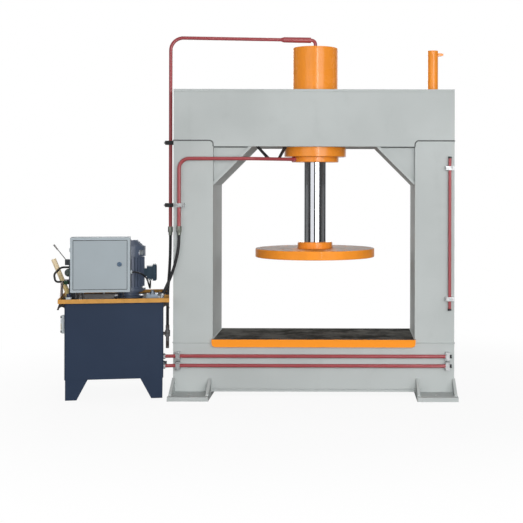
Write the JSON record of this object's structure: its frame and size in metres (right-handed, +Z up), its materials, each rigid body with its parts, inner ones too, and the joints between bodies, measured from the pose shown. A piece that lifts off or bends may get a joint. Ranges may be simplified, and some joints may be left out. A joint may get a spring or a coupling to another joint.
{
  "type": "hydraulic press",
  "caption": "Gantry hydraulic press: welded box frame, overhead cylinder with a round platen over a flat bed, and a power unit with upright motor, control cabinet and hoses at its side.",
  "frame": {"origin": "on the floor, at the middle of the four anchor holes in the feet", "axes": "+Z up, +X to the right seen from the front, +Y towards the back"},
  "size_m": [3.0044, 1.0464, 2.663],
  "materials": {
    "frame_grey": "smooth light grey paint",
    "orange": "glossy orange paint",
    "red": "red primer paint",
    "chrome": "hard chrome, polished",
    "steel": "bright zinc plated",
    "dark_steel": "blackened steel",
    "iron": "machined",
    "rubber": "black rubber",
    "black_plastic": "moulded black plastic",
    "green_plastic": "moulded green plastic",
    "grey_plastic": "moulded light plastic",
    "clear_plastic": "clear and white plastic",
    "tank_blue": "dark slate blue paint",
    "tray_ochre": "ochre paint",
    "cabinet_grey": "pale blue grey powder coat",
    "motor_blue": "dark blue machine paint"
  },
  "bodies": {
    "base": {"lower_beam": "frame_grey", "left_column": "frame_grey", "right_column": "frame_grey", "upper_beam": "frame_grey", "left_gusset": "frame_grey", "right_gusset": "frame_grey", "feet": "frame_grey", "bed_plate": "orange", "hoist_post": "orange", "cylinder_barrel": "orange", "cylinder_cap": "orange", "gland": "orange", "cylinder_bolts": "dark_steel", "rod_wiper": "rubber", "cylinder_ports": "red", "top_pipe": "red", "gland_pipe": "red", "pipe_hanger": "dark_steel", "top_pipe_clamps": "black_plastic", "pipe_clamps": "steel", "clamp_bolts": "steel", "pipe_unions": "steel", "front_pipes": "red", "pipe_plugs": "black_plastic", "tank": "tank_blue", "tank_legs": "tank_blue", "tank_tray": "tray_ochre", "level_gauge": "clear_plastic", "tank_fittings": "steel", "bell_housing": "motor_blue", "motor_housing": "motor_blue", "motor_cowl": "motor_blue", "pump_body": "iron", "terminal_box": "motor_blue", "valve_block": "steel", "gauge_line": "rubber", "tool_tube": "tray_ochre", "cable_glands": "grey_plastic", "hand_valve": "iron", "pressure_dial": "dark_steel", "cabinet_body": "cabinet_grey", "cabinet_stands": "dark_steel", "switch_gear": "grey_plastic", "hose_return": "rubber", "hose_pressure": "rubber", "motor_cable": "rubber"},
    "ram": {"piston_rod": "chrome", "piston": "iron", "piston_seals": "rubber", "ram_fasteners": "dark_steel", "platen": "orange", "platen_hub": "orange"},
    "door": {"cabinet_door": "cabinet_grey"},
    "lock": {"door_lock": "chrome"},
    "lever": {"valve_lever": "steel", "lever_grip": "black_plastic"},
    "knob": {"relief_knob": "green_plastic"},
    "rotor": {"motor_shaft": "steel", "cooling_fan": "black_plastic"},
    "filler": {"filler_cap": "black_plastic"}
  },
  "joints": [
    {"name": "ram_slide", "type": "slide", "parent": "base", "child": "ram", "axis": [0, 0, 1], "range_m": [-0.058, 0.58]},
    {"name": "door_hinge", "type": "hinge", "parent": "base", "child": "door", "pos_m": [-1.70968, -0.4655, 0.966], "axis": [0, 0, -1], "range_deg": [0, 110]},
    {"name": "lock_turn", "type": "hinge", "parent": "door", "child": "lock", "pos_m": [-1.39596, -0.41959, 0.971], "axis": [0.165, -0.9863, 0], "range_deg": [0, 90]},
    {"name": "lever_pivot", "type": "hinge", "parent": "base", "child": "lever", "pos_m": [-1.82454, -0.17903, 0.962], "axis": [-0.165, 0.9863, 0], "range_deg": [-18, 18]},
    {"name": "knob_turn", "type": "hinge", "parent": "base", "child": "knob", "pos_m": [-1.8296, -0.22753, 0.822], "axis": [0.165, -0.9863, 0], "range_deg": [-150, 150]},
    {"name": "motor_spin", "type": "hinge", "parent": "base", "child": "rotor", "pos_m": [-1.39453, -0.08882, 0.9], "axis": [0, 0, 1], "continuous": true},
    {"name": "filler_turn", "type": "hinge", "parent": "base", "child": "filler", "pos_m": [-1.75861, -0.43364, 0.723], "axis": [0, 0, 1], "range_deg": [0, 90]}
  ]
}
